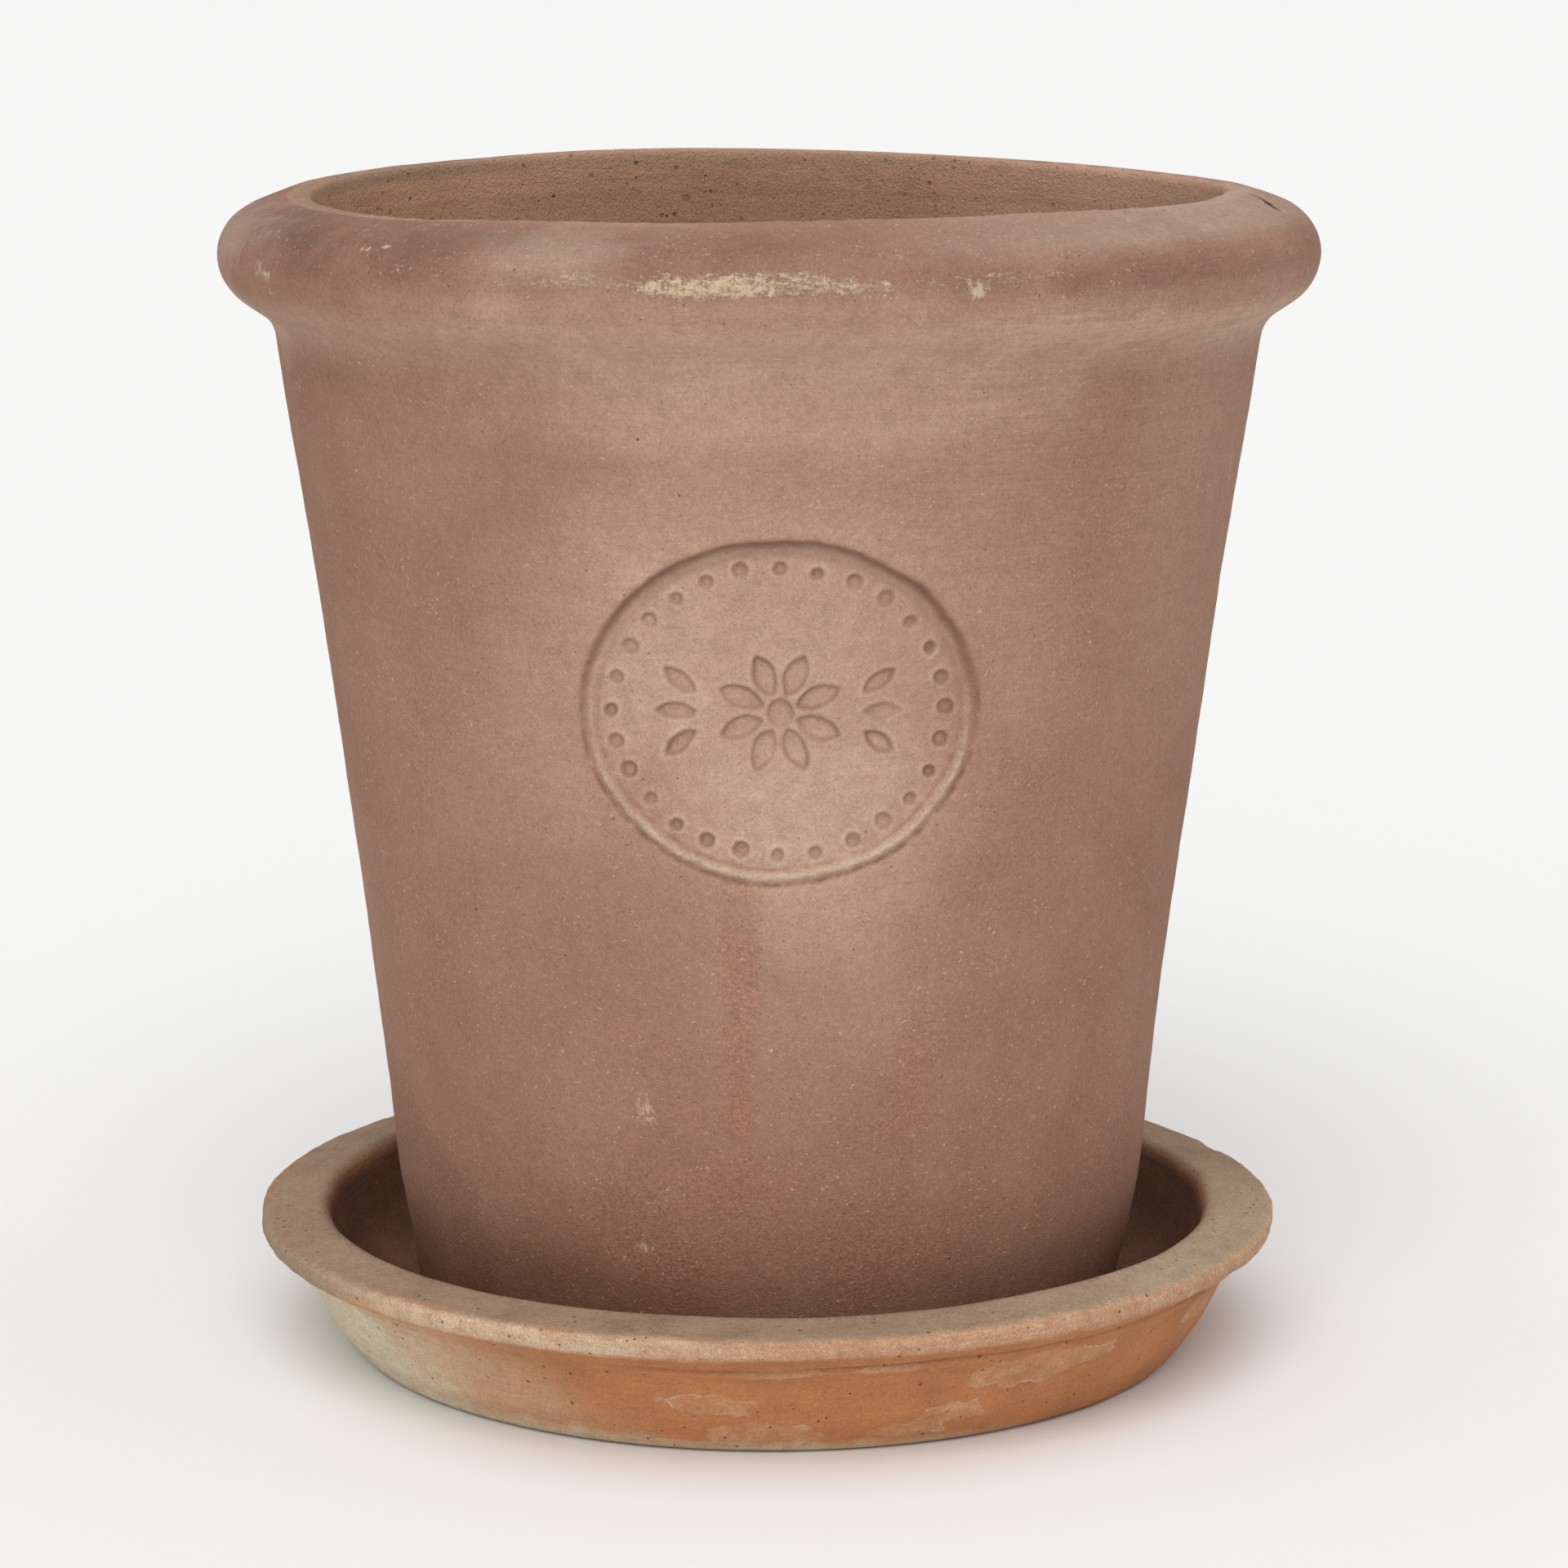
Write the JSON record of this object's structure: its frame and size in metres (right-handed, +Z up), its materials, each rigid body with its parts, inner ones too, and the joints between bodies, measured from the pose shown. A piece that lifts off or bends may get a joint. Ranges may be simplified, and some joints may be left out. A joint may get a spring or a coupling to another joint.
{
  "type": "terracotta pot with saucer",
  "caption": "Tapered fired clay garden pot with a rolled rim and an oval pressed seal, standing loose in a flanged drip saucer.",
  "frame": {"origin": "centre of the saucer's underside, on the surface that it stands on", "axes": "+Z up along the pot's axis, and the oval seal faces -Y"},
  "size_m": [0.24, 0.24, 0.2578],
  "materials": {
    "pot_clay": "matte",
    "saucer_clay": "matte"
  },
  "bodies": {
    "saucer": {"saucer": "saucer_clay"},
    "pot": {"pot": "pot_clay"}
  },
  "joints": [
    {"name": "pot_lift", "type": "slide", "parent": "saucer", "child": "pot", "axis": [0, 0, 1], "range_m": [0, 0.1]}
  ]
}
